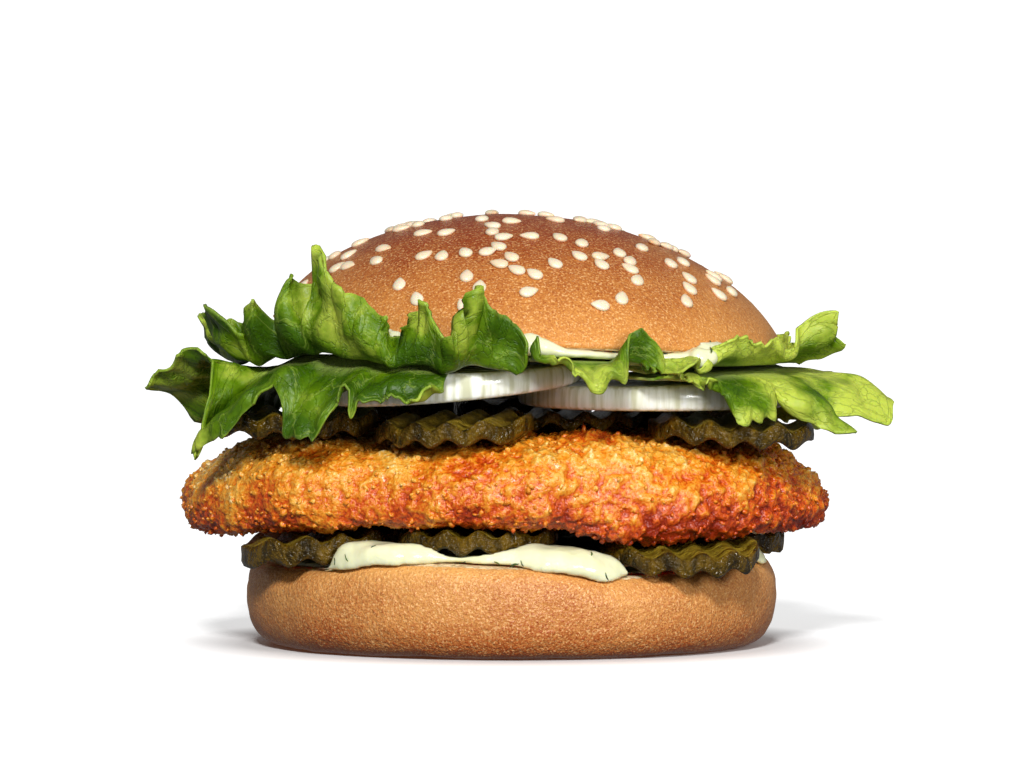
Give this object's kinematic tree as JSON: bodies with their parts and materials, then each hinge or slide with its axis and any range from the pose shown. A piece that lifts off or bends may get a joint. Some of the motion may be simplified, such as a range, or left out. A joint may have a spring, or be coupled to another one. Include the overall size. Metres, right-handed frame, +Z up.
{
  "type": "chicken burger",
  "caption": "Chicken burger: a craggy fried fillet with crinkle-cut pickles, onion slices, frilly lettuce and herb sauce in a bun with a sesame-seeded crown, stacked as served.",
  "frame": {"origin": "centre of the heel bun's flat underside, where it rests", "axes": "+Z up through the stack, +X to the right of the shown side along the fillet's length, +Y away from the shown side"},
  "size_m": [0.1378, 0.1114, 0.0809],
  "materials": {
    "crown": "baked bread crust, orange-brown with a soft egg-wash shine, cream seeds",
    "heel": "baked bread crust, light tan, finely pebbled",
    "fillet": "fried coating, orange and craggy, with a little oil",
    "pickle": "wet olive-green slices with a dark skin",
    "onion": "translucent white rings",
    "lettuce": "bright green leaf with pale veins and edges",
    "sauce": "pale yellow-green cream with dark herb flecks"
  },
  "bodies": {
    "root": {"bun_crown": "crown", "bun_heel": "heel", "chicken_fillet": "fillet", "lettuce_left_lower": "lettuce", "lettuce_left_upper": "lettuce", "lettuce_middle": "lettuce", "lettuce_right_lower": "lettuce", "lettuce_right_upper": "lettuce", "onion_back": "onion", "onion_left": "onion", "onion_right": "onion", "pickle_lower_back": "pickle", "pickle_lower_back_left": "pickle", "pickle_lower_far_right": "pickle", "pickle_lower_front": "pickle", "pickle_lower_left": "pickle", "pickle_lower_right": "pickle", "pickle_upper_back": "pickle", "pickle_upper_back_left": "pickle", "pickle_upper_back_right": "pickle", "pickle_upper_front": "pickle", "pickle_upper_left": "pickle", "pickle_upper_middle": "pickle", "pickle_upper_right": "pickle", "sauce_lower": "sauce", "sauce_upper": "sauce"}
  },
  "joints": []
}
